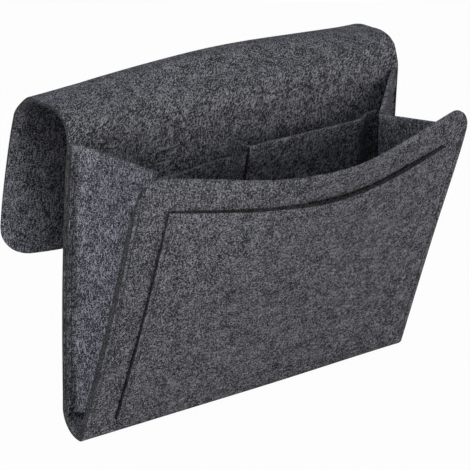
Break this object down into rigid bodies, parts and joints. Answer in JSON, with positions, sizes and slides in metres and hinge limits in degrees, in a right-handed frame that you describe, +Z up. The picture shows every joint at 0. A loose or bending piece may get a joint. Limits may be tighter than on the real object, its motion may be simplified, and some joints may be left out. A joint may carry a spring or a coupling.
{
  "type": "felt bedside caddy",
  "caption": "Felt bedside caddy: an open pouch with pleated side gussets, pockets inside and in front, and a flap that folds back over a bed rail or under a mattress.",
  "frame": {"origin": "middle of the flap's fold line on the rear face of the back panel, where the pouch hangs against the bed", "axes": "+X to the caddy's right as seen from its front, +Y backwards towards the bed, +Z up"},
  "size_m": [0.32, 0.2041, 0.2674],
  "materials": {
    "felt": "mottled grey pressed felt, matte",
    "thread": "dark grey sewing thread"
  },
  "bodies": {
    "back": {"back_panel": "felt", "bottom_turn": "felt", "left_gusset_rear_flange": "felt", "right_gusset_rear_flange": "felt", "left_back_seam": "thread", "right_back_seam": "thread", "left_pocket": "felt", "left_pocket_seam": "thread", "right_pocket_divider_wall": "felt", "right_pocket_end_wall": "felt", "right_pocket_flange": "felt", "right_pocket_seam": "thread"},
    "front": {"front_panel": "felt", "outer_pocket": "felt", "outer_pocket_seam": "thread", "left_gusset_front_flange": "felt", "right_gusset_front_flange": "felt", "left_front_seam": "thread", "right_front_seam": "thread"},
    "left_rear_half": {"left_gusset_rear_half": "felt"},
    "left_front_half": {"left_gusset_front_half": "felt"},
    "right_rear_half": {"right_gusset_rear_half": "felt"},
    "right_front_half": {"right_gusset_front_half": "felt"},
    "right_pocket": {"right_pocket_front": "felt"},
    "front_fold": {"flap_front_fold": "felt"},
    "top": {"flap_top": "felt"},
    "rear_fold": {"flap_rear_fold": "felt"},
    "flap": {"flap": "felt"}
  },
  "joints": [
    {"name": "front_swing", "type": "hinge", "parent": "back", "child": "front", "pos_m": [0, -0.0063, -0.2784], "axis": [1, 0, 0], "range_deg": [-9.5, 0], "deforming": ["bottom_turn"]},
    {"name": "left_rear_half_turn", "type": "hinge", "parent": "back", "child": "left_rear_half", "pos_m": [-0.153, -0.0063, -0.1], "axis": [0, 0, 1], "range_deg": [0, 26.7]},
    {"name": "right_rear_half_turn", "type": "hinge", "parent": "back", "child": "right_rear_half", "pos_m": [0.153, -0.0063, -0.1], "axis": [0, 0, 1], "range_deg": [-26.7, 0]},
    {"name": "left_front_half_turn", "type": "hinge", "parent": "front", "child": "left_front_half", "pos_m": [-0.153, -0.04764, -0.13033], "axis": [0, -0.2689, 0.9632], "range_deg": [-26.7, 0]},
    {"name": "right_front_half_turn", "type": "hinge", "parent": "front", "child": "right_front_half", "pos_m": [0.153, -0.04764, -0.13033], "axis": [0, -0.2689, 0.9632], "range_deg": [0, 26.7]},
    {"name": "right_pocket_lean", "type": "hinge", "parent": "back", "child": "right_pocket", "pos_m": [0.047, -0.0033, -0.182], "axis": [1, 0, 0], "range_deg": [-5, 0], "deforming": ["right_pocket_divider_wall", "right_pocket_end_wall"]},
    {"name": "flap_lift", "type": "hinge", "parent": "back", "child": "front_fold", "pos_m": [0, -0.00033, 0.00863], "axis": [1, 0, 0], "range_deg": [0, 46]},
    {"name": "flap_lift_upper", "type": "hinge", "parent": "front_fold", "child": "top", "pos_m": [0, 0.01208, 0.02062], "axis": [1, 0, 0], "range_deg": [0, 46]},
    {"name": "flap_spread", "type": "hinge", "parent": "top", "child": "rear_fold", "pos_m": [0, 0.0558, 0.01934], "axis": [1, 0, 0], "range_deg": [-12, 44]},
    {"name": "flap_spread_lower", "type": "hinge", "parent": "rear_fold", "child": "flap", "pos_m": [0, 0.06567, 0.00912], "axis": [1, 0, 0], "range_deg": [-12, 44]}
  ],
  "couplings": [
    {"joint": "left_rear_half_turn", "follows": "front_swing", "ratio": -2.8},
    {"joint": "right_rear_half_turn", "follows": "front_swing", "ratio": 2.8},
    {"joint": "left_front_half_turn", "follows": "front_swing", "ratio": 2.8},
    {"joint": "right_front_half_turn", "follows": "front_swing", "ratio": -2.8},
    {"joint": "right_pocket_lean", "follows": "front_swing", "ratio": 0.52},
    {"joint": "flap_lift_upper", "follows": "flap_lift", "ratio": 1},
    {"joint": "flap_spread_lower", "follows": "flap_spread", "ratio": 1}
  ]
}
